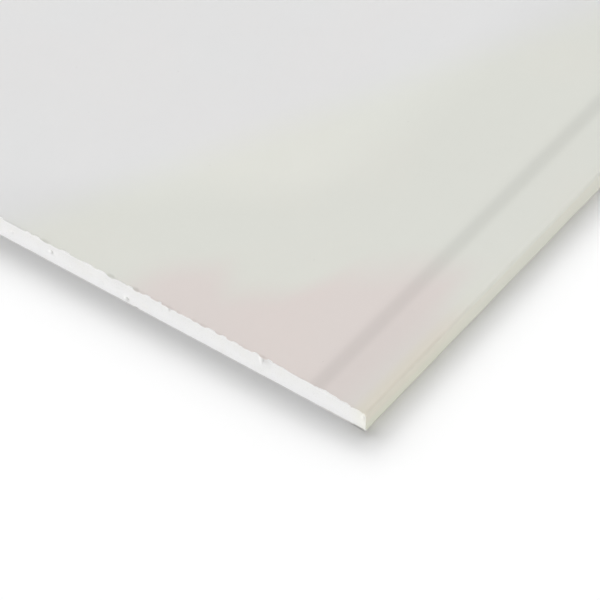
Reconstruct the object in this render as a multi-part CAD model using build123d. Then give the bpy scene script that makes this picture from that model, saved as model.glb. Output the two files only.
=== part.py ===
from build123d import *
import math
import os

# A sheet of paper-faced gypsum board, lying on its back on the floor.
# X runs along the length, Y across the width and Z up, out of the face.
# The origin is the middle of the underside. Sizes are in millimetres.

# Stock size
board_length = 2438.4
board_width = 1219.2
board_thickness = 12.7

# Papers: the face paper folds under both long edges, and the back paper laps over its flaps
face_paper_thickness = 0.33
back_paper_thickness = 0.33
flap_width = 25.0
back_paper_margin = 8.0

# Tapered long edges: widths are from the long edge, and easings from a bend's corner to its ends
taper_width = 35.0
shelf_width = 22.0
shelf_angle = 1.0
edge_thickness = 11.05
crest_easing = 3.1
foot_easing = 3.1
shoulder_radius = 2.0
fold_radius = 0.9

# Most of the ramp that its two bends may take up, so that a straight is left between them
bend_share = 0.48

half_width = board_width / 2
flap_underside = back_paper_thickness


def edge_corners():
    """Corners and bend radii of one long edge, from the crest of the taper to the folded flap."""
    easing_room = bend_share * (taper_width - shelf_width)
    ease = min(1.0, easing_room / (crest_easing + foot_easing))
    crest_inset = taper_width - crest_easing * ease
    foot_inset = shelf_width + foot_easing * ease
    shelf_slope = math.radians(shelf_angle)
    foot_height = edge_thickness + foot_inset * math.tan(shelf_slope)
    ramp_slope = math.atan2(board_thickness - foot_height, crest_inset - foot_inset)
    corners = [
        (half_width - crest_inset, board_thickness),
        (half_width - foot_inset, foot_height),
        (half_width, edge_thickness),
        (half_width, flap_underside),
    ]
    radii = [
        crest_easing * ease / math.tan(ramp_slope / 2),
        foot_easing * ease / math.tan((ramp_slope - shelf_slope) / 2),
        shoulder_radius,
        fold_radius,
    ]
    return corners, radii


def wrapped_section():
    """Section of the board inside the outer side of its face paper, flaps included."""
    corners, radii = edge_corners()
    far_corners = [(-y, z) for y, z in reversed(corners)]
    outline = FilletPolyline(*corners, *far_corners, radius=radii + radii[::-1], close=True)
    return make_face(outline)


def strip(width, thickness, underside):
    """Flat strip of section, centred across the board."""
    return Pos(0, underside) * Rectangle(width, thickness, align=(Align.CENTER, Align.MIN))


def along_board(section):
    """Solid of a section drawn in Y and Z, run out over the length of the board."""
    return extrude(Plane.YZ * section, amount=board_length / 2, both=True)


wrapped = wrapped_section()
inside_face_paper = offset(wrapped, amount=-face_paper_thickness)
between_flaps = strip(board_width - 2 * flap_width, face_paper_thickness, flap_underside)
back = strip(board_width - 2 * back_paper_margin, back_paper_thickness, 0)

parts = {
    "face_paper": along_board(wrapped - inside_face_paper - between_flaps),
    "gypsum_core": along_board(inside_face_paper + between_flaps),
    "back_paper": along_board(back),
}

os.makedirs("parts", exist_ok=True)
for node, shape in parts.items():
    export_step(shape, f"parts/{node}.step")
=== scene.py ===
"""Looks of a sheet of paper-faced gypsum board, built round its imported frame.

The sheet lies on its back. X runs along its length, Y across its width and Z up, out of
its face. Sizes are in metres, and distances along a cut end are from the right long edge,
the one at negative Y.
"""

import functools
import logging
import math
import random
from collections.abc import Iterable, Sequence
from dataclasses import dataclass
from enum import Enum

import bmesh
import bpy
from mathutils import Matrix, Vector, noise


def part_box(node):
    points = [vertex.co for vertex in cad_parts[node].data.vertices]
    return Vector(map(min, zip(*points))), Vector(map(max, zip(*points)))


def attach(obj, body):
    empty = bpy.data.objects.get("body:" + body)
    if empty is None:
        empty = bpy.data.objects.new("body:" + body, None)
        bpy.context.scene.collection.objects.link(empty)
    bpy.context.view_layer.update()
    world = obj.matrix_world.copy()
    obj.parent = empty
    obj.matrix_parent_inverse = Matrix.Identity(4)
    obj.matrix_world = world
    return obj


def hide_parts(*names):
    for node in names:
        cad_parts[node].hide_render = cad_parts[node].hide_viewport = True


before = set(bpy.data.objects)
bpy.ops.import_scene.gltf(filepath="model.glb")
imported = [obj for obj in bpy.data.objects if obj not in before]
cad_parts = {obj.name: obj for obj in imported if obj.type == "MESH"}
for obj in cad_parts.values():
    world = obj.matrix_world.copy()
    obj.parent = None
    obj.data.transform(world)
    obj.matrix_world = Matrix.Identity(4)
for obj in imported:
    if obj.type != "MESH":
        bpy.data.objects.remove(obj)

MM = 0.001
BODY = "root"
HOLLOW = "hollow"
REPORT = logging.getLogger("drywall_sheet")

# Angle between two faces from which their edge stays sharp, and edges in an eased bend
CREASE = math.radians(50)
BEND_EDGES = 8

Mesh = bmesh.types.BMesh
Piece = bpy.types.Object

# Red, green and blue; features to the metre on X, Y and Z; and where a range starts and ends
Colour = tuple[float, float, float]
Stretch = tuple[float, float, float]
Span = tuple[float, float]


def mm(*sizes: float) -> tuple[float, ...]:
    """Sizes in millimetres, as metres."""
    return tuple(size * MM for size in sizes)


class Slot(Enum):
    """Material slots of the record, one for each piece."""

    GYPSUM = "gypsum"
    FACE_PAPER = "face_paper"
    BACK_PAPER = "back_paper"


class End(Enum):
    """The two cut ends, each with the side of the origin that it is on."""

    NEAR = -1
    FAR = 1

    @classmethod
    def nearest(cls, x: float) -> "End":
        """End that a place along the sheet is nearest to."""
        return cls.FAR if x > 0 else cls.NEAR


class Layer(Enum):
    """Layers of noise, one for each use, so that no two uses look alike."""

    WANDER = 0.0
    FRAY = 3.0
    GRAIN = 7.0
    BACK_FRAY = 11.0


class Axis(Enum):
    """Axes of the sheet, each with its direction: along it, across it and up."""

    X = (1, 0, 0)
    Y = (0, 1, 0)
    Z = (0, 0, 1)


class Maths(Enum):
    """Operations of a Math node."""

    ADD = "ADD"
    SUBTRACT = "SUBTRACT"
    MULTIPLY = "MULTIPLY"
    MAXIMUM = "MAXIMUM"
    ABSOLUTE = "ABSOLUTE"


class Blend(Enum):
    """Ways to mix two colours."""

    PLAIN = "MIX"
    TIMES = "MULTIPLY"


# Sizes of the sheet


@dataclass(frozen=True)
class Board:
    """Overall sizes of the sheet and the section of its tapered long edges.

    The first five come from the frame. The others are the section's own sizes: insets are
    from the long edge, and easings run from a bend's corner to where the bend ends. The
    fold under a long edge sags nearly to the floor.
    """

    length: float
    width: float
    thickness: float
    paper: float
    back_paper_inset: float
    flap_width: float = 25 * MM
    crest_inset: float = 31.9 * MM
    foot_inset: float = 25.1 * MM
    crest_easing: float = 3.1 * MM
    foot_easing: float = 3.1 * MM
    edge_thickness: float = 11.05 * MM
    shelf_angle: float = math.radians(1.0)
    shoulder_easing: float = 1.97 * MM
    fold_easing: float = 0.5 * MM
    fold_sag: float = 0.28 * MM
    fold_reach: float = 2.8 * MM

    @classmethod
    def from_frame(cls) -> "Board":
        """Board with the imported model's overall sizes.

        Returns:
            The board.
        """
        face_low, face_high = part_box("face_paper")
        back_low, back_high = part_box("back_paper")
        return cls(
            length=face_high.x - face_low.x,
            width=face_high.y - face_low.y,
            thickness=face_high.z,
            paper=back_high.z - back_low.z,
            back_paper_inset=back_low.y - face_low.y,
        )

    @property
    def half_length(self) -> float:
        """Half of the length."""
        return self.length / 2

    @property
    def half_width(self) -> float:
        """Half of the width."""
        return self.width / 2

    @property
    def foot_height(self) -> float:
        """Height of the corner where the ramp meets the shelf."""
        return self.edge_thickness + self.foot_inset * math.tan(self.shelf_angle)

    def face_height(self, y: float) -> float:
        """Height of the face, with its bends left sharp.

        Args:
            y: Place across the sheet.

        Returns:
            The height there.
        """
        inset = self.half_width - abs(y)
        shelf = self.edge_thickness + inset * math.tan(self.shelf_angle)
        rise = (self.thickness - self.foot_height) / (self.crest_inset - self.foot_inset)
        ramp = self.foot_height + rise * (inset - self.foot_inset)
        return min(self.thickness, max(shelf, ramp))

    def share_of_face(self, y: float, z: float, reach: float = 3 * MM) -> float:
        """How much a point belongs to the face: 1 on it, and 0 from reach below it down."""
        return clamp(1 - (self.face_height(y) - z) / reach)

    def from_end(self, x: float) -> float:
        """Distance of a place along the sheet from the cut end that is nearest to it."""
        return self.half_length - abs(x)

    def half_section(self, inward: float) -> list["Corner"]:
        """Corners of the wrapped section at positive Y, from the flap's end to the crest.

        Args:
            inward: How far inside the face paper's outer side the section runs.

        Returns:
            The corners, each with the easing of its bend.
        """
        slope = math.atan2(self.thickness - self.foot_height, self.crest_inset - self.foot_inset)
        tuck = inward * math.tan(slope / 2)
        side = self.half_width - inward
        bottom = self.paper + inward
        return [
            Corner(self.half_width - self.flap_width, bottom),
            Corner(self.half_width - self.fold_reach, bottom),
            Corner(side, bottom - self.fold_sag, self.fold_easing - inward),
            Corner(side, self.edge_thickness - inward, self.shoulder_easing - inward),
            Corner(self.half_width - self.foot_inset - tuck, self.foot_height - inward, self.foot_easing),
            Corner(self.half_width - self.crest_inset - tuck, self.thickness - inward, self.crest_easing),
        ]


@dataclass(frozen=True)
class Corner:
    """Corner of a section in Y and Z, with how far along its sides its bend begins."""

    y: float
    z: float
    easing: float = 0.0


def both_sides(half: list[Corner]) -> list[Corner]:
    """Corners of a whole section, from those at positive Y."""
    return half + [Corner(-corner.y, corner.z, corner.easing) for corner in reversed(half)]


def clamp(value: float) -> float:
    """Value kept between 0 and 1."""
    return max(0.0, min(1.0, value))


def unit_noise(*place: float) -> float:
    """Smooth noise about a half, at a place given by three coordinates."""
    return 0.5 + 0.5 * noise.noise(place)


# Damage of the cut ends


@dataclass(frozen=True)
class Tear:
    """Place on a cut end's upper arris where the face paper is torn back or rolled down."""

    place: float
    reach: float
    depth: float

    def at(self, place: float) -> float:
        """Depth of this tear at a place, flat along its middle and steep at its sides."""
        return self.depth * max(0.0, 1 - ((place - self.place) / self.reach) ** 4)


@dataclass(frozen=True)
class Chip:
    """Dent in the cut gypsum, as wide as twice its reach and as tall as twice its rise.

    Its tilt is how much deeper it is towards the left than in its middle.
    """

    place: float
    height: float
    reach: float
    rise: float
    depth: float
    tilt: float = 0.0

    def at(self, place: float, height: float) -> float:
        """Depth of this chip at a point of the cut end, which is 0 outside the chip."""
        across, up = (place - self.place) / self.reach, (height - self.height) / self.rise
        return (self.depth + self.tilt * across) * math.sqrt(max(0.0, 1 - across * across - up * up))


# What the near end shows by its right corner, in millimetres. The place of each comes first
NEAR_TEARS = tuple(Tear(*mm(*sizes)) for sizes in (
    (5.4, 2.8, 0.45), (11.9, 2.9, 0.75), (21.6, 7.6, 0.95), (23.4, 1.6, 0.35), (38.5, 5.5, -0.28),
    (49.5, 5, 0.34), (55.6, 2, 0.7), (58.9, 2.2, -0.6), (63.4, 2, 0.75), (70.1, 1.1, -0.55),
    (75.4, 1.9, 0.5), (78.6, 1.4, -0.35), (82.2, 1.7, 0.62), (85.4, 1.1, -0.55), (89.7, 2.7, 0.56),
    (94.6, 2, -0.9), (99.8, 1, -0.45), (109, 1.3, -0.75), (114.6, 2.6, -0.6), (118.5, 1.2, -0.65),
    (120.4, 1, 0.8), (123.2, 1.4, -0.35), (127.7, 1.8, 0.58), (131.6, 1.5, -0.5), (134.9, 1.9, -1.25),
    (138.4, 1.6, 0.72), (143.6, 2.6, 0.22), (150.4, 2.5, -1.2),
))
NEAR_CHIPS = tuple(Chip(*mm(*sizes)) for sizes in (
    (60.1, 10.6, 1, 4.2, 0.6), (57.3, 11.4, 3.1, 4, 0.5, 0.25), (115.3, 12.4, 1.2, 2, 0.9),
    (141.2, 2.7, 1.35, 1.2, 1.1), (147, 4.2, 1.2, 0.5, 0.4), (135.3, 0.3, 1, 0.8, 0.35),
    (97.5, 9, 1.4, 1.2, 0.3), (1.8, 8, 1, 1.5, 0.45),
))


@dataclass(frozen=True, eq=False)
class CutEnd:
    """Cut end of the sheet, with what the cut did to its gypsum and its papers.

    The upper arris is torn back where its profile is above zero, and rolled down where it
    is below. The core and the face paper both ask this class, so that they still fit. A run
    is how far from the end something reaches along the sheet.
    """

    board: Board
    tears: tuple[Tear, ...]
    chips: tuple[Chip, ...]
    seed: float
    drift: float = 0.20 * MM
    drift_back: float = 0.3
    wander_size: float = 2.6 * MM
    fray_size: float = 0.9 * MM
    fray_share: float = 0.5
    setback: float = 0.03 * MM
    rolled_drop: float = 0.75
    roll_run: float = 1.6 * MM
    common_drop: float = 0.03 * MM
    common_run: float = 2.4 * MM
    ridge: float = 0.30 * MM
    ridge_run: float = 0.25 * MM
    follow_run: float = 9 * MM
    lump_width: float = 7 * MM
    lump_height: float = 5 * MM
    lump_depth: float = 0.16 * MM
    grain_size: float = 1.5 * MM
    grain_depth: float = 0.10 * MM

    def place(self, y: float) -> float:
        """Distance of a place across the sheet from the right long edge."""
        return y + self.board.half_width

    def ripple(self, y: float, size: float, layer: Layer) -> float:
        """Noise about zero along the end, with features of a size."""
        return noise.noise((self.place(y) / size, self.seed, layer.value))

    @functools.cache
    def profile(self, y: float) -> float:
        """How far the face paper is torn back, or rolled down if below zero.

        Args:
            y: Place across the sheet.

        Returns:
            How far.
        """
        wander = self.ripple(y, self.wander_size, Layer.WANDER)
        fray = self.ripple(y, self.fray_size, Layer.FRAY)
        common = self.drift * (self.drift_back + wander + self.fray_share * fray)
        return common + sum(tear.at(self.place(y)) for tear in self.tears)

    def recess(self, y: float) -> float:
        """Distance of the face paper's edge from the end of the sheet."""
        return max(0.0, self.profile(y)) + self.setback

    def drop(self, y: float, run: float) -> float:
        """How far the face is rolled down, at a distance from the end of the sheet."""
        rolled = self.rolled_drop * max(0.0, -self.profile(y)) * clamp(1 - run / self.roll_run) ** 2
        return rolled + self.common_drop * clamp(1 - run / self.common_run) ** 2

    def core_drop(self, y: float, run: float) -> float:
        """How far the core's face is rolled down, less where it stands up beside torn paper."""
        return self.drop(y, run) - self.ridge * clamp((self.recess(y) - run) / self.ridge_run)

    def relief(self, y: float, z: float) -> float:
        """How deep the cut gypsum lies behind the end of the sheet.

        Args:
            y: Place across the sheet.
            z: Height.

        Returns:
            The depth of its lumps, its grain and its chips there.
        """
        place = self.place(y)
        lumps = unit_noise(place / self.lump_width, z / self.lump_height, self.seed)
        grain = unit_noise(place / self.grain_size, z / self.grain_size, self.seed + Layer.GRAIN.value)
        return self.lump_depth * lumps + self.grain_depth * grain + self.chipped(y, z)

    def chipped(self, y: float, z: float) -> float:
        """How deep the chips are at a point of the cut end."""
        place = self.place(y)
        return sum(chip.at(place, z) for chip in self.near_chips(round(place, 3)))

    @functools.cache
    def near_chips(self, place: float) -> tuple[Chip, ...]:
        """The chips that reach to within a millimetre of a place."""
        return tuple(c for c in self.chips if abs(c.place - place) < c.reach + MM)

    def follow(self, depth: float, run: float) -> float:
        """How far a point behind the end moves in when the end beside it moves by depth."""
        return depth * clamp(1 - run / self.follow_run)


@dataclass(frozen=True)
class ChanceWear:
    """Damage that a cut end has by chance from a place on: how large it is, and how far apart.

    A broken spot is a chip out of the upper arris with a tear above it. The rises and the
    depths of pits and broken spots are shares of their reach.
    """

    width: float
    top: float
    draw: random.Random
    start: float
    tear_reach: Span = mm(1.0, 4.2)
    tear_depth: Span = mm(-0.75, 0.9)
    tear_gap: Span = mm(0, 2.5)
    pit_spacing: float = 9 * MM
    pit_height: Span = mm(1.5, 11.5)
    pit_reach: Span = mm(0.5, 1.2)
    pit_rise: Span = (0.7, 1.2)
    pit_depth: Span = (0.3, 0.9)
    spot_spacing: float = 85 * MM
    spot_reach: Span = mm(1.4, 3.4)
    spot_rise: Span = (0.9, 1.3)
    spot_depth: Span = (0.5, 0.9)
    spot_tear: float = 0.7

    def tears(self) -> Iterable[Tear]:
        """Tears one after another from the start on, with short gaps between them.

        Returns:
            The tears up to the left long edge.
        """
        place = self.start
        while place < self.width:
            reach = self.draw.uniform(*self.tear_reach)
            place += reach
            yield Tear(place, reach, self.draw.uniform(*self.tear_depth))
            place += reach + self.draw.uniform(*self.tear_gap)

    def pits(self) -> Iterable[Chip]:
        """Small pits in the cut gypsum.

        Returns:
            The pits, in no order.
        """
        for _ in range(int((self.width - self.start) / self.pit_spacing)):
            reach = self.draw.uniform(*self.pit_reach)
            place = self.draw.uniform(self.start, self.width)
            height = self.draw.uniform(*self.pit_height)
            rise = reach * self.draw.uniform(*self.pit_rise)
            yield Chip(place, height, reach, rise, reach * self.draw.uniform(*self.pit_depth))

    def broken_spots(self) -> Iterable[tuple[Chip, Tear]]:
        """Spots where the upper arris is broken off with its paper.

        Returns:
            The chip and the tear of each spot, in no order.
        """
        for _ in range(int((self.width - self.start) / self.spot_spacing)):
            reach = self.draw.uniform(*self.spot_reach)
            place = self.draw.uniform(self.start, self.width)
            depth = reach * self.draw.uniform(*self.spot_depth)
            rise = reach * self.draw.uniform(*self.spot_rise)
            yield Chip(place, self.top, reach, rise, depth), Tear(place, reach, depth * self.spot_tear)


def worn_end(board: Board, seed: int, tears: Sequence[Tear] = (), chips: Sequence[Chip] = ()) -> CutEnd:
    """Cut end with damage by chance past the places that are given.

    Args:
        board: The sheet.
        seed: Seed of the damage.
        tears: Tears by the right long edge that stay as given.
        chips: Chips that stay as given.

    Returns:
        The end.
    """
    start = max((tear.place + tear.reach for tear in tears), default=0.0)
    wear = ChanceWear(board.width, board.thickness, random.Random(seed), start)
    torn, pits, spots = list(wear.tears()), list(wear.pits()), list(wear.broken_spots())
    tears = (*tears, *torn, *(tear for _, tear in spots))
    chips = (*chips, *pits, *(chip for chip, _ in spots))
    return CutEnd(board, tears, chips, float(seed))


# Meshes


@dataclass
class Stock:
    """Something run out along the sheet, between two cut ends.

    The lines along a piece are close together where the near corner's damage is. Rows are
    the distances of its lines across from each end.
    """

    board: Board
    ends: dict[End, CutEnd]
    fine_reach: float = 232 * MM
    fine_step: float = 0.55 * MM
    coarse_step: float = 2 * MM
    rows: tuple[float, ...] = mm(0.3, 0.7, 1.2, 1.8, 2.6, 4.0, 9.0)

    def cut_columns(self, bm: Mesh, reach: float) -> None:
        """Cuts the lines that run along the sheet.

        Args:
            bm: Mesh to cut.
            reach: How far they go to both sides of the middle.
        """
        fine_end = -self.board.half_width + self.fine_reach
        place = -reach
        while place < reach:
            place += self.fine_step if place < fine_end else self.coarse_step
            cut_plane(bm, Axis.Y, place)

    def run_out(self, bm: Mesh) -> None:
        """Extrudes a section over the whole length and cuts its rows.

        Args:
            bm: Mesh with the section's edges or faces, and nothing else.
        """
        for vert in bm.verts:
            vert.co.x = -self.board.half_length
        if bm.faces:
            made = bmesh.ops.extrude_face_region(bm, geom=bm.faces[:], use_keep_orig=True)
        else:
            made = bmesh.ops.extrude_edge_only(bm, edges=bm.edges[:])
        moved = [item for item in made["geom"] if isinstance(item, bmesh.types.BMVert)]
        bmesh.ops.translate(bm, verts=moved, vec=(self.board.length, 0, 0))
        for row in self.rows:
            for side in End:
                cut_plane(bm, Axis.X, side.value * (self.board.half_length - row))
        bmesh.ops.recalc_face_normals(bm, faces=bm.faces[:])

    def wear(self, end: CutEnd, point: Vector, run: float) -> tuple[float, float]:
        """How far a point goes in and down. Each piece has its own."""
        raise NotImplementedError

    def shape_ends(self, bm: Mesh) -> None:
        """Moves what lies by the cut ends inwards and down.

        Args:
            bm: Mesh to change.
        """
        for vert in bm.verts:
            run = self.board.from_end(vert.co.x)
            if run > self.rows[-1]:
                continue
            side = End.nearest(vert.co.x)
            inward, down = self.wear(self.ends[side], vert.co, run)
            vert.co.x -= side.value * inward
            vert.co.z -= down


def cut_plane(bm: Mesh, axis: Axis, place: float) -> None:
    """Adds a line where the plane across an axis, at a place on it, meets the mesh."""
    everything, normal = bm.verts[:] + bm.edges[:] + bm.faces[:], Vector(axis.value)
    bmesh.ops.bisect_plane(bm, geom=everything, plane_co=normal * place, plane_no=normal)


def section_wire(corners: list[Corner], closed: bool) -> Mesh:
    """Section as a line of edges with eased corners.

    Args:
        corners: Corners of the section in order.
        closed: Whether the last corner joins the first, as a face.

    Returns:
        A mesh in the plane of Y and Z.
    """
    bm = bmesh.new()
    verts = [bm.verts.new((0, corner.y, corner.z)) for corner in corners]
    if closed:
        bm.faces.new(verts)
    else:
        for first, second in zip(verts, verts[1:]):
            bm.edges.new((first, second))
    for vert, corner in zip(verts, corners):
        if corner.easing:
            bend = {"offset": corner.easing, "offset_type": "OFFSET", "segments": BEND_EDGES}
            bmesh.ops.bevel(bm, geom=[vert], affect="VERTICES", profile=0.5, material=-1, **bend)
    return bm


def finished_object(bm: Mesh, name: str) -> Piece:
    """Object of a finished mesh, shaded smooth.

    Args:
        bm: Mesh, which is freed.
        name: Name of the object.

    Returns:
        The object, in the scene.
    """
    for face in bm.faces:
        face.smooth = True
    for edge in bm.edges:
        edge.smooth = edge.calc_face_angle(0.0) < CREASE
    mesh = bpy.data.meshes.new(name)
    bm.to_mesh(mesh)
    bm.free()
    return placed(bpy.data.objects.new(name, mesh))


def placed(made: Piece) -> Piece:
    """The object, put in the scene."""
    bpy.context.scene.collection.objects.link(made)
    return made


@dataclass
class GypsumCore(Stock):
    """The cast gypsum between the papers, rough where it is cut."""

    row_height: float = 0.56 * MM
    end_tolerance: float = 0.1 * MM

    def build(self) -> Piece:
        """Mesh of the core, with both its cut ends broken and pitted.

        Returns:
            The finished piece.
        """
        paper = self.board.paper
        half = self.board.half_section(paper)
        bm = section_wire(both_sides([Corner(half[0].y, paper), *half]), closed=True)
        self.cut_columns(bm, self.board.half_width - paper)
        height = paper + self.row_height
        while height < self.board.thickness - paper:
            cut_plane(bm, Axis.Z, height)
            height += self.row_height
        self.run_out(bm)
        self.mark_hollows(bm)
        self.shape_ends(bm)
        return finished_object(bm, "core_with_broken_ends")

    def mark_hollows(self, bm: Mesh) -> None:
        """Stores how deep the chips are at each point of the ends, for the painted shade in them.

        Args:
            bm: Mesh that gets it.
        """
        hollow = bm.verts.layers.float.new(HOLLOW)
        for vert in bm.verts:
            if self.board.from_end(vert.co.x) < self.end_tolerance:
                vert[hollow] = self.ends[End.nearest(vert.co.x)].chipped(vert.co.y, vert.co.z)

    def wear(self, end: CutEnd, point: Vector, run: float) -> tuple[float, float]:
        """How far a point of the core goes in and down, at a distance from an end."""
        share = self.board.share_of_face(point.y, point.z + self.board.paper)
        return end.follow(end.relief(point.y, point.z), run), share * end.core_drop(point.y, run)


@dataclass
class PaperSkin(Stock):
    """A sheet of paper on the board, made from the line of its outer side."""

    def sheet(self, corners: list[Corner], name: str) -> Piece:
        """Paper of the board's paper thickness along a section.

        Args:
            corners: Section of its outer side, from one edge of the paper to the other.
            name: Name of the piece.

        Returns:
            The finished piece.
        """
        bm = section_wire(corners, closed=False)
        self.cut_columns(bm, self.board.half_width)
        self.run_out(bm)
        self.face_outwards(bm)
        self.shape_ends(bm)
        bmesh.ops.solidify(bm, geom=bm.faces[:], thickness=self.board.paper)
        return finished_object(bm, name)

    def face_outwards(self, bm: Mesh) -> None:
        """Turns the faces of an open skin so that they point away from the core.

        Args:
            bm: Mesh whose faces agree with each other.
        """
        widest = max(bm.faces, key=lambda face: face.calc_area())
        outward = widest.calc_center_median() - Vector((0, 0, self.board.thickness / 2))
        if widest.normal.dot(outward) < 0:
            bmesh.ops.reverse_faces(bm, faces=bm.faces[:])


@dataclass
class FacePaper(PaperSkin):
    """The face paper, folded round both long edges and under them."""

    def build(self) -> Piece:
        """Mesh of the face paper, with its torn and rolled ends."""
        return self.sheet(both_sides(self.board.half_section(0.0)), "face_paper_with_torn_ends")

    def wear(self, end: CutEnd, point: Vector, run: float) -> tuple[float, float]:
        """How far a point of the paper goes in and down.

        Args:
            end: The cut end that it is near.
            point: Its place.
            run: Its distance from that end.

        Returns:
            The way in and the way down.
        """
        share = self.board.share_of_face(point.y, point.z)
        inward = end.follow(end.recess(point.y) * share, run)
        return inward, share * end.drop(point.y, run + inward)


@dataclass
class BackPaper(PaperSkin):
    """The back paper, which laps over the face paper's flaps."""

    fray: float = 0.35 * MM
    fray_size: float = 3 * MM

    def build(self) -> Piece:
        """Mesh of the back paper, with its slightly frayed ends."""
        side = self.board.half_width - self.board.back_paper_inset
        return self.sheet([Corner(-side, 0.0), Corner(side, 0.0)], "back_paper_with_frayed_ends")

    def wear(self, end: CutEnd, point: Vector, run: float) -> tuple[float, float]:
        """How far a point of the paper goes in, at a distance from an end. It never goes down."""
        wander = end.ripple(point.y, self.fray_size, Layer.BACK_FRAY)
        return end.follow(self.fray * max(0.0, wander), run), 0.0


# Shader expressions


@dataclass(frozen=True, eq=False)
class Wire:
    """Output socket of a shader node that takes part in Python expressions."""

    graph: "Graph"
    socket: bpy.types.NodeSocket

    def maths(self, operation: Maths, first: "Number", second: "Number" = 0.0) -> "Wire":
        """Output of a Math node on one value or two."""
        return self.graph.node("ShaderNodeMath", {0: first, 1: second}, operation=operation.value)

    def __add__(self, other: "Number") -> "Wire":
        """Sum of two values."""
        return self.maths(Maths.ADD, self, other)

    __radd__ = __add__

    def __sub__(self, other: "Number") -> "Wire":
        """Difference of two values."""
        return self.maths(Maths.SUBTRACT, self, other)

    def __rsub__(self, other: "Number") -> "Wire":
        """Difference of two values, the other way round."""
        return self.maths(Maths.SUBTRACT, other, self)

    def __mul__(self, other: "Number") -> "Wire":
        """Product of two values."""
        return self.maths(Maths.MULTIPLY, self, other)

    __rmul__ = __mul__

    def or_more(self, other: "Number") -> "Wire":
        """The larger of two values."""
        return self.maths(Maths.MAXIMUM, self, other)

    def __abs__(self) -> "Wire":
        """The value without its sign."""
        return self.maths(Maths.ABSOLUTE, self)

    def above(self, span: Span) -> "Wire":
        """Smooth step from 0 where a span starts to 1 where it ends."""
        sockets = {"Value": self, "From Min": span[0], "From Max": span[1]}
        return self.graph.node("ShaderNodeMapRange", sockets, interpolation_type="SMOOTHSTEP")

    def below(self, span: Span) -> "Wire":
        """Smooth step from 1 where a span starts to 0 where it ends."""
        return 1 - self.above(span)


Number = Wire | float
Paint = Wire | Colour


@dataclass(frozen=True)
class Clouds:
    """Smooth noise from 0 to 1, with a number of features to the metre on each axis.

    The weight is its share in a colour's strength, and the height its share in the bumps.
    """

    stretch: Stretch
    detail: float = 2.0
    roughness: float = 0.5
    weight: float = 0.0
    height: float = 0.0


@dataclass(frozen=True)
class Spots:
    """Small round spots, each in a cell of its own, with a number of cells to the metre.

    The size is a spot's radius in cells, the share is how many of the cells have a spot,
    and the strength is what the mask reaches in the middle of one.
    """

    stretch: Stretch
    size: float
    share: float
    strength: float
    solid_part: float = 0.6
    lot_step: float = 0.02


class Graph:
    """Node tree of one material or world, filled by expressions."""

    def __init__(self, owner: bpy.types.Material | bpy.types.World) -> None:
        """Empties the owner's node tree.

        Args:
            owner: What the nodes are for.
        """
        owner.use_nodes = True
        self.tree = owner.node_tree
        self.tree.nodes.clear()

    def node(self, kind: str, sockets: dict | None = None, output: int | str = 0, **settings: str) -> Wire:
        """Adds a node.

        Args:
            kind: Type of the node.
            sockets: Values or wires of its input sockets, by name or number.
            output: Name or number of the output that is returned.
            **settings: Its own settings.

        Returns:
            The output, or the first input of a node that has none.
        """
        made = self.tree.nodes.new(kind)
        for name, value in settings.items():
            setattr(made, name, value)
        for key, value in (sockets or {}).items():
            if isinstance(value, Wire):
                self.tree.links.new(value.socket, made.inputs[key])
            else:
                made.inputs[key].default_value = value
        return Wire(self, made.outputs[output] if made.outputs else made.inputs[0])

    def place(self, stretch: Stretch) -> Wire:
        """Place on the piece, multiplied by a stretch on each axis."""
        here = self.node("ShaderNodeTexCoord", output="Object")
        return self.node("ShaderNodeMapping", {"Vector": here, "Scale": stretch})

    def clouds(self, kind: Clouds) -> Wire:
        """Noise of a kind, from 0 to 1."""
        sockets = {"Vector": self.place(kind.stretch), "Detail": kind.detail, "Roughness": kind.roughness}
        return self.node("ShaderNodeTexNoise", {"Scale": 1.0, **sockets})

    def spots(self, kind: Spots) -> Wire:
        """Mask of spots.

        Args:
            kind: The kind of spots.

        Returns:
            The mask.
        """
        cell = {"Vector": self.place(kind.stretch), "Scale": 1.0}
        near = self.node("ShaderNodeTexVoronoi", cell).below((kind.size * kind.solid_part, kind.size))
        colour = self.node("ShaderNodeTexVoronoi", cell, "Color")
        lot = self.node("ShaderNodeSeparateColor", {"Color": colour})
        return near * lot.below((kind.share, kind.share + kind.lot_step)) * kind.strength

    def blend(self, share: Number, first: Paint, second: Paint, way: Blend = Blend.PLAIN) -> Wire:
        """Mix of two colours, where the share is how much of the second there is."""
        sockets = {0: share, 6: opaque(first), 7: opaque(second)}
        return self.node("ShaderNodeMix", sockets, 2, data_type="RGBA", blend_type=way.value)

    def tinted(self, colour: Paint, share: Number, tint: Paint) -> Wire:
        """Colour multiplied by a tint where the share is 1."""
        return self.blend(share, colour, tint, Blend.TIMES)

    def scaled(self, colour: Paint, strength: Wire) -> Wire:
        """Colour multiplied by a strength."""
        grey = self.node("ShaderNodeCombineColor", {0: strength, 1: strength, 2: strength})
        return self.tinted(colour, 1.0, grey)

    def along(self, axis: Axis) -> Wire:
        """Place along an axis, in metres."""
        here = self.node("ShaderNodeTexCoord", output="Object")
        return self.node("ShaderNodeSeparateXYZ", {"Vector": here}, axis.name)


def opaque(colour: Paint) -> Wire | tuple[float, float, float, float]:
    """Colour with full opacity, or the wire that it is."""
    return colour if isinstance(colour, Wire) else (*colour, 1.0)


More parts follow.
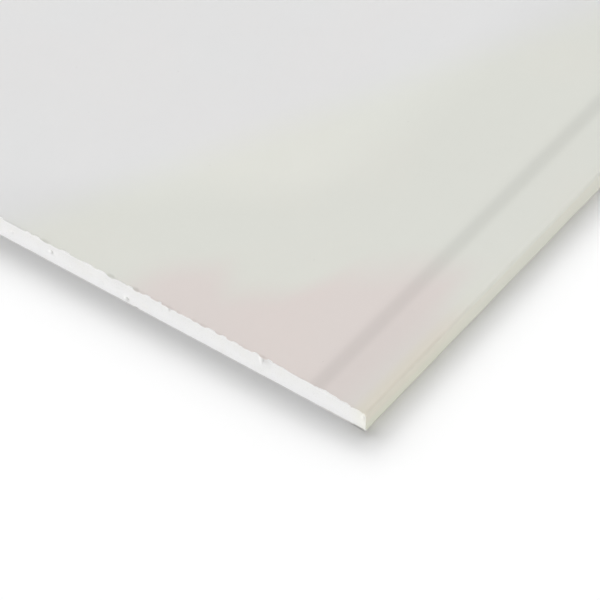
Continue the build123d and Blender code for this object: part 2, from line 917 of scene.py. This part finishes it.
@dataclass(frozen=True)
class Distances:
    """Distances on a board as wires, in metres, each made when it is first asked for."""

    board: Board
    graph: Graph

    @functools.cached_property
    def from_side(self) -> Wire:
        """Distance from the nearest long edge."""
        return self.board.half_width - abs(self.graph.along(Axis.Y))

    @functools.cached_property
    def from_end(self) -> Wire:
        """Distance from the nearest cut end."""
        return self.board.half_length - abs(self.graph.along(Axis.X))

    @functools.cached_property
    def from_right(self) -> Wire:
        """Distance from the right long edge."""
        return self.board.half_width + self.graph.along(Axis.Y)

    @functools.cached_property
    def from_near(self) -> Wire:
        """Distance from the near end."""
        return self.board.half_length + self.graph.along(Axis.X)

    @functools.cached_property
    def height(self) -> Wire:
        """Height above the floor."""
        return self.graph.along(Axis.Z)


# Finishes


@dataclass(frozen=True)
class Finish:
    """What every finish has: the board that it is on, its name, colour, gloss and bumps."""

    board: Board
    name: str
    colour: Colour
    roughness: float
    gloss: float
    bump_depth: float

    def material(self) -> bpy.types.Material:
        """Material with this finish.

        Returns:
            The material.
        """
        made = bpy.data.materials.new(self.name)
        made.diffuse_color = (*self.colour, 1.0)
        self.surface(Graph(made))
        return made

    def surface(self, graph: Graph) -> None:
        """Fills the graph. Each finish has its own."""
        raise NotImplementedError

    def principled(self, graph: Graph, colour: Wire, roughness: Number, height: Wire) -> None:
        """Ends a graph in a Principled surface.

        Args:
            graph: Graph to end.
            colour: Its colour.
            roughness: Its roughness.
            height: Its bumps, in shares of their depth.
        """
        sockets = {
            "Base Color": colour,
            "Roughness": roughness,
            "Normal": graph.node("ShaderNodeBump", {"Height": height, "Distance": self.bump_depth}),
            "Specular IOR Level": self.gloss,
        }
        shader = graph.node("ShaderNodeBsdfPrincipled", sockets)
        graph.node("ShaderNodeOutputMaterial", {"Surface": shader})


@dataclass(frozen=True)
class FacePaperFinish(Finish):
    """Smooth uncoated light paper: faint clouds, fine fibres, a few specks and soft zones, with painted
    light and shade in some of them.

    A zone ends over a span: a width or an inset is from a long edge, a length from the near
    end, and a reach slants away from the near right corner.
    """

    name: str = "light_face_paper"
    colour: Colour = (0.692, 0.697, 0.648)
    roughness: float = 0.60
    gloss: float = 0.05
    bump_depth: float = 0.03 * MM

    strength: float = 0.972
    clouds: Clouds = Clouds((9, 11, 9), weight=0.022)
    mottle: Clouds = Clouds((70, 90, 90), detail=3.0, weight=0.016, height=0.4)
    fibres: Clouds = Clouds((260, 1500, 1500), weight=0.018, height=0.6)
    roughness_waver: float = 0.08
    warmth: Clouds = Clouds((13, 15, 13), detail=1.0)
    warm_share: Span = (0.40, 0.62)
    warm: Colour = (1.003, 1.000, 0.997)
    cool: Colour = (0.997, 1.001, 1.000)
    specks: Spots = Spots((210, 260, 260), size=0.10, share=0.03, strength=0.2)
    speck_colour: Colour = (0.36, 0.34, 0.31)

    face_inset: Span = mm(0.2, 0.5)
    corner_across: float = 0.59
    corner_along: float = 0.81
    corner_waver: float = 30 * MM

    handled_tint: Colour = (1.003, 0.909, 0.939)
    handled_reach: Span = mm(82, 114)
    handled_width: Span = mm(122, 152)
    gap_start: Span = mm(57, 79)
    gap_end: Span = mm(94, 114)
    gap_depth: float = 21 * MM
    rim_width: Span = mm(4, 20)
    rim_length: Span = mm(62, 96)
    rim_loss: float = 0.4

    # Painted light: the face is lighter far from the near right corner and away from the long edges
    far_painted_light_tint: Colour = (1.049, 1.049, 1.050)
    far_painted_light_reach: Span = mm(134, 172)
    far_painted_light_inset: Span = mm(78, 122)

    middle_tint: Colour = (1.010, 1.000, 1.076)
    middle_inset: Span = mm(191, 231)
    middle_slant: float = 0.46

    edge_tint: Colour = (1.0, 0.994, 0.918)
    edge_width: Span = mm(2.5, 10)
    edge_length: Span = mm(35, 110)
    edge_loss: float = 0.45

    side_tint: Colour = (1.0, 0.949, 0.966)
    side_height: Span = mm(3, 8)
    side_length: Span = mm(25, 105)
    side_loss: float = 0.7
    # Painted light: the long sides are made paler
    side_painted_light: float = 0.02

    # Painted shade on the tapered ramp of each long edge
    ramp_shade_start: Span = mm(23, 27)
    ramp_shade_end: Span = mm(30, 34)
    ramp_shade_amount: float = 0.06
    # Painted highlight along the top of the rounded shoulders of the long edges
    shoulder_width: Span = mm(1.1, 2.1)
    shoulder_height: Span = mm(9.3, 10.7)
    shoulder_highlight_amount: float = 0.12
    # Darker on the shelf by the near end
    darker_shelf_width: Span = mm(19, 31)
    darker_shelf_length: Span = mm(40, 110)
    darker_shelf_amount: float = 0.03

    dust: Colour = (0.86, 0.85, 0.83)
    dust_reach: Span = mm(0.2, 0.6)
    dust_height: Span = mm(1.0, 1.8)
    dust_share: float = 0.8

    def surface(self, graph: Graph) -> None:
        """Fills the graph.

        Args:
            graph: Graph of the material.
        """
        at = Distances(self.board, graph)
        face = at.from_side.above(self.face_inset)
        clouds, mottle, fibres = (graph.clouds(kind) for kind in (self.clouds, self.mottle, self.fibres))
        strength = self.strength + self.clouds.weight * clouds + self.mottle.weight * mottle
        # wear() brings in the painted shade on the ramp, the painted highlight on the shoulders and the
        # painted light on the sides
        strength = (strength + self.fibres.weight * fibres) * self.wear(at, face)
        shade = self.zones(at, face, self.corner_waver * (clouds - 0.5))
        colour = graph.scaled(graph.tinted(self.colour, 1.0, shade), strength)
        colour = graph.blend(graph.spots(self.specks), colour, self.speck_colour)
        dusted = at.from_end.below(self.dust_reach) * at.height.below(self.dust_height)
        colour = graph.blend(dusted * self.dust_share, colour, self.dust)
        roughness = self.roughness + self.roughness_waver * (mottle - 0.5)
        height = self.fibres.height * fibres + self.mottle.height * mottle
        self.principled(graph, colour, roughness, height)

    def zones(self, at: Distances, face: Wire, waver: Wire) -> Wire:
        """Tint of the paper, from its soft zones; the zone far from the near corner is painted light.

        Args:
            at: Distances on the sheet.
            face: Mask of the face, without the long sides.
            waver: What the distance from the corner varies by.

        Returns:
            The tint.
        """
        corner = self.corner_across * at.from_right + self.corner_along * at.from_near + waver
        edge_left = 1 - self.edge_loss * at.from_near.above(self.edge_length) * (1 + face)
        side_left = 1 - self.side_loss * at.from_near.above(self.side_length)
        zones = (
            (self.handled(at, corner) * face, self.handled_tint),
            # painted light far from the near corner
            (corner.above(self.far_painted_light_reach) * at.from_side.above(self.far_painted_light_inset), self.far_painted_light_tint),
            ((at.from_side + self.middle_slant * at.from_end).above(self.middle_inset), self.middle_tint),
            (at.from_side.below(self.edge_width) * edge_left, self.edge_tint),
            ((1 - face) * at.height.above(self.side_height) * side_left, self.side_tint),
        )
        warmth = at.graph.clouds(self.warmth).above(self.warm_share)
        shade = at.graph.blend(warmth, self.cool, self.warm)
        for share, tint in zones:
            shade = at.graph.tinted(shade, share, tint)
        return shade

    def handled(self, at: Distances, corner: Wire) -> Wire:
        """Mask of the zone by the near right corner where hands held the sheet.

        Args:
            at: Distances on the sheet.
            corner: Slanting distance from that corner.

        Returns:
            The mask, with a gap in it and weaker at the rim.
        """
        gap = at.from_right.above(self.gap_start) * at.from_right.below(self.gap_end)
        zone = (corner + self.gap_depth * gap).below(self.handled_reach)
        zone = zone * at.from_right.below(self.handled_width)
        rim = at.from_side.below(self.rim_width)
        return zone * (1 - self.rim_loss * rim) * (1 - rim * at.from_near.above(self.rim_length))

    def wear(self, at: Distances, face: Wire) -> Wire:
        """Strength of the paper: painted shade on the ramp, a painted highlight on the shoulders, painted
        light on the sides, and darker on the shelf by the near end.

        Args:
            at: Distances on the sheet.
            face: Mask of the face, without the long sides.

        Returns:
            A factor near 1.
        """
        # painted shade on the ramp
        painted_ramp_shade = at.from_side.above(self.ramp_shade_start) * at.from_side.below(self.ramp_shade_end)
        # painted highlight on the shoulders
        painted_shoulder_highlight = at.from_side.below(self.shoulder_width) * at.height.above(self.shoulder_height)
        darker_shelf = at.from_side.below(self.darker_shelf_width) * at.from_near.below(self.darker_shelf_length)
        painted_light_and_tone = 1 - self.ramp_shade_amount * painted_ramp_shade + self.shoulder_highlight_amount * painted_shoulder_highlight + self.side_painted_light * (1 - face)
        return painted_light_and_tone * (1 - self.darker_shelf_amount * darker_shelf * face)


@dataclass(frozen=True)
class GypsumFinish(Finish):
    """Chalky set gypsum: fine grain, foam pores with painted shade, faint cream patches, denser edges,
    painted shade in chips, and painted light that makes the cut face paler towards the floor.
    """

    name: str = "set_gypsum"
    colour: Colour = (0.957, 0.957, 0.96)
    roughness: float = 0.95
    gloss: float = 0.2
    bump_depth: float = 0.10 * MM

    strength: float = 0.965
    grain: Clouds = Clouds((1100, 1100, 1100), detail=3.0, roughness=0.6, weight=0.05, height=0.5)
    patches: Clouds = Clouds((90, 90, 90))
    patch_share: Span = (0.45, 0.75)
    patch_strength: float = 0.4
    patch_colour: Colour = (0.95, 0.942, 0.915)
    bubbles: Spots = Spots((760, 760, 760), size=0.30, share=0.09, strength=1.0)
    fine_pores: Spots = Spots((1300, 1300, 1300), size=0.34, share=0.20, strength=0.8)
    # Painted shade in the foam pores
    pore_shade_strength: float = 0.35
    pore_height: float = 0.8
    pore_shade_colour: Colour = (0.62, 0.61, 0.58)
    edge_width: Span = mm(-1, 12)
    edge_tint: Colour = (0.995, 0.992, 0.93)
    # Painted light: the cut face is paler near the floor and darker towards its top
    face_height: Span = mm(1, 11.5)
    painted_light_gradient: Colour = (0.910, 0.905, 0.893)
    # Painted shade in the chips, darker where they are deeper
    hollow_depth: Span = mm(0.15, 0.95)
    hollow_shade_strength: float = 0.6
    hollow_shade_colour: Colour = (0.45, 0.44, 0.42)

    def surface(self, graph: Graph) -> None:
        """Fills the graph.

        Args:
            graph: Graph of the material.
        """
        at = Distances(self.board, graph)
        grain = graph.clouds(self.grain)
        pores = graph.spots(self.bubbles).or_more(graph.spots(self.fine_pores))
        patches = graph.clouds(self.patches).above(self.patch_share) * self.patch_strength
        shade = graph.blend(patches, self.colour, self.patch_colour)
        shade = graph.tinted(shade, at.from_side.below(self.edge_width), self.edge_tint)
        # painted light, paler towards the floor
        shade = graph.tinted(shade, at.height.above(self.face_height), self.painted_light_gradient)
        colour = graph.scaled(shade, self.strength + self.grain.weight * grain)
        # painted shade in the pores
        colour = graph.blend(pores * self.pore_shade_strength, colour, self.pore_shade_colour)
        hollow = graph.node("ShaderNodeAttribute", output="Fac", attribute_name=HOLLOW)
        # painted shade in the chips
        painted_hollow_shade = hollow.above(self.hollow_depth) * self.hollow_shade_strength
        colour = graph.blend(painted_hollow_shade, colour, self.hollow_shade_colour)
        height = self.grain.height * grain + self.pore_height * (1 - pores)
        self.principled(graph, colour, self.roughness, height)


@dataclass(frozen=True)
class BackPaperFinish(Finish):
    """Rough recycled paper: streaky fibres with flecks, and gypsum dust on its cut ends."""

    name: str = "grey_back_paper"
    colour: Colour = (0.44, 0.40, 0.34)
    roughness: float = 0.85
    gloss: float = 0.3
    bump_depth: float = 0.06 * MM

    strength: float = 0.86
    clouds: Clouds = Clouds((8, 12, 8), detail=3.0, weight=0.14)
    fibres: Clouds = Clouds((180, 1100, 1100), detail=4.0, roughness=0.65, weight=0.14, height=1.0)
    dark_flecks: Spots = Spots((240, 520, 520), size=0.22, share=0.20, strength=0.55)
    dark_colour: Colour = (0.16, 0.14, 0.12)
    light_flecks: Spots = Spots((330, 610, 610), size=0.20, share=0.14, strength=0.5)
    light_colour: Colour = (0.66, 0.62, 0.54)
    dust: Colour = (0.80, 0.80, 0.79)
    dust_reach: Span = mm(0.4, 0.9)
    dust_share: float = 0.85

    def surface(self, graph: Graph) -> None:
        """Fills the graph.

        Args:
            graph: Graph of the material.
        """
        at = Distances(self.board, graph)
        clouds, fibres = graph.clouds(self.clouds), graph.clouds(self.fibres)
        strength = self.strength + self.clouds.weight * clouds + self.fibres.weight * fibres
        colour = graph.scaled(self.colour, strength)
        colour = graph.blend(graph.spots(self.dark_flecks), colour, self.dark_colour)
        colour = graph.blend(graph.spots(self.light_flecks), colour, self.light_colour)
        colour = graph.blend(at.from_end.below(self.dust_reach) * self.dust_share, colour, self.dust)
        self.principled(graph, colour, self.roughness, self.fibres.height * fibres)


# The stage


def direction(elevation: float, heading: float) -> Vector:
    """Unit vector at angles in degrees, where the heading turns from +X towards +Y."""
    up, turn = math.radians(elevation), math.radians(heading)
    return Vector((math.cos(up) * math.cos(turn), math.cos(up) * math.sin(turn), math.sin(up)))


@dataclass(frozen=True)
class Floor:
    """Plain white floor that keeps the sheet's shadow, and its whites as seen and as lit."""

    size: float = 80.0
    seen_white: float = 1.034
    bounce_white: float = 0.78

    def build(self) -> None:
        """Floor at the height of the sheet's underside, as white as the background."""
        bm = bmesh.new()
        bmesh.ops.create_grid(bm, x_segments=1, y_segments=1, size=self.size / 2)
        floor = finished_object(bm, "floor")
        white = bpy.data.materials.new("white_floor")
        graph = Graph(white)
        bounced, seen = (self.bounce_white,) * 3, (self.seen_white,) * 3
        colour = graph.blend(background_rays(graph), bounced, seen)
        shader = graph.node("ShaderNodeBsdfDiffuse", {"Color": colour})
        graph.node("ShaderNodeOutputMaterial", {"Surface": shader})
        floor.data.materials.append(white)


def background_rays(graph: Graph) -> Wire:
    """Mask of the rays that see the background: from the camera, and in gloss or glass."""
    rays = ("Is Camera Ray", "Is Glossy Ray", "Is Transmission Ray")
    return functools.reduce(Wire.or_more, (graph.node("ShaderNodeLightPath", output=ray) for ray in rays))


@dataclass(frozen=True)
class SoftSun:
    """Broad even light. A level of 1 lights a surface that faces it to white."""

    name: str
    level: float
    elevation: float
    heading: float
    half_angle: float
    distance: float = 4.0

    def build(self) -> None:
        """Sun lamp with this light."""
        data = bpy.data.lights.new(self.name, "SUN")
        data.energy = self.level * math.pi
        data.angle = math.radians(2 * self.half_angle)
        lamp = placed(bpy.data.objects.new(self.name, data))
        source = direction(self.elevation, self.heading)
        lamp.rotation_euler = source.to_track_quat("Z", "Y").to_euler()
        lamp.location = source * self.distance


@dataclass(frozen=True)
class Studio:
    """Plain soft light: two broad lights and a key behind the sheet, a low fill, and air."""

    ambient: float = 0.022
    suns: tuple[SoftSun, ...] = (
        SoftSun("broad_right_light", 0.587, 12.3, -31.2, 50.1),
        SoftSun("broad_back_light", 1.334, 27.2, 50.5, 43.1),
        SoftSun("key_light", 0.263, 27.1, 46.8, 10.5),
        SoftSun("front_fill", 0.804, 2.5, 180 + 32.2, 3.0),
    )

    def build(self) -> None:
        """Lamps and the world."""
        for sun in self.suns:
            sun.build()
        bpy.context.scene.world = bpy.data.worlds.new("white_background")
        graph = Graph(bpy.context.scene.world)
        lit = graph.node("ShaderNodeBackground", {"Strength": self.ambient})
        white = graph.node("ShaderNodeBackground", {"Color": (1, 1, 1, 1), "Strength": 1.0})
        mixed = graph.node("ShaderNodeMixShader", {0: background_rays(graph), 1: lit, 2: white})
        graph.node("ShaderNodeOutputWorld", {"Surface": mixed})


@dataclass(frozen=True)
class PhotoCamera:
    """Camera that sees the sheet's near right corner as the photograph does.

    Its lens and sensor are in millimetres, and it looks down by its elevation. The corner's
    place is in pixels of a square picture, from its upper left.
    """

    board: Board
    lens: float = 168.0
    sensor: float = 36.0
    elevation: float = 45.1
    heading: float = 36.22
    distance: float = 1.290
    picture: float = 600.0
    corner_column: float = 366.0
    corner_row: float = 431.4
    farthest_view: float = 200.0

    def build(self) -> None:
        """Camera in its place, made the scene's own."""
        ahead = direction(-self.elevation, self.heading)
        right = direction(0.0, self.heading - 90)
        up = right.cross(ahead)
        focal = self.lens / self.sensor * self.picture
        beside = (self.corner_column - self.picture / 2) / focal
        below = (self.corner_row - self.picture / 2) / focal
        corner = Vector((-self.board.half_length, -self.board.half_width, 0.0))
        data = bpy.data.cameras.new("photo_camera")
        data.lens = self.lens
        data.sensor_width = self.sensor
        data.clip_end = self.farthest_view
        camera = placed(bpy.data.objects.new("photo_camera", data))
        place = corner - self.distance * (ahead + beside * right - below * up)
        turned = Matrix((right, up, -ahead)).transposed().to_4x4()
        camera.matrix_world = Matrix.Translation(place) @ turned
        bpy.context.scene.camera = camera


# The sheet


@dataclass
class DrywallSheet:
    """The whole sheet: its core, its two papers and their finishes."""

    board: Board
    near_seed: int = 5
    far_seed: int = 8

    def build(self) -> list[Piece]:
        """Builds and dresses the three pieces.

        Returns:
            The pieces.
        """
        ends = {
            End.NEAR: worn_end(self.board, self.near_seed, NEAR_TEARS, NEAR_CHIPS),
            End.FAR: worn_end(self.board, self.far_seed),
        }
        kinds = (
            (GypsumCore, GypsumFinish, Slot.GYPSUM, "gypsum_core"),
            (FacePaper, FacePaperFinish, Slot.FACE_PAPER, "face_paper"),
            (BackPaper, BackPaperFinish, Slot.BACK_PAPER, "back_paper"),
        )
        return [
            self.dressed(shape(self.board, ends).build(), finish(self.board), slot, node)
            for shape, finish, slot, node in kinds
        ]

    def dressed(self, piece: Piece, finish: Finish, slot: Slot, node: str) -> Piece:
        """Gives a piece its finish and its place in the frame.

        Args:
            piece: The piece.
            finish: Its finish.
            slot: The record's material slot for it. Not used.
            node: The frame's node that it replaces.

        Returns:
            The piece.
        """
        piece.data.materials.append(finish.material())
        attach(piece, BODY)
        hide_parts(node)
        return piece


def main() -> None:
    """Builds the camera, the stage and the sheet, and reports each of its pieces."""
    logging.basicConfig(level=logging.INFO, format="%(name)s: %(message)s")
    bpy.context.scene.view_settings.view_transform = "Standard"
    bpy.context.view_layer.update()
    board = Board.from_frame()
    PhotoCamera(board).build()
    Studio().build()
    Floor().build()
    for piece in DrywallSheet(board).build():
        triangles = sum(len(polygon.vertices) - 2 for polygon in piece.data.polygons)
        REPORT.info("%s: %d triangles", piece.name, triangles)


if __name__ == "__main__":
    main()
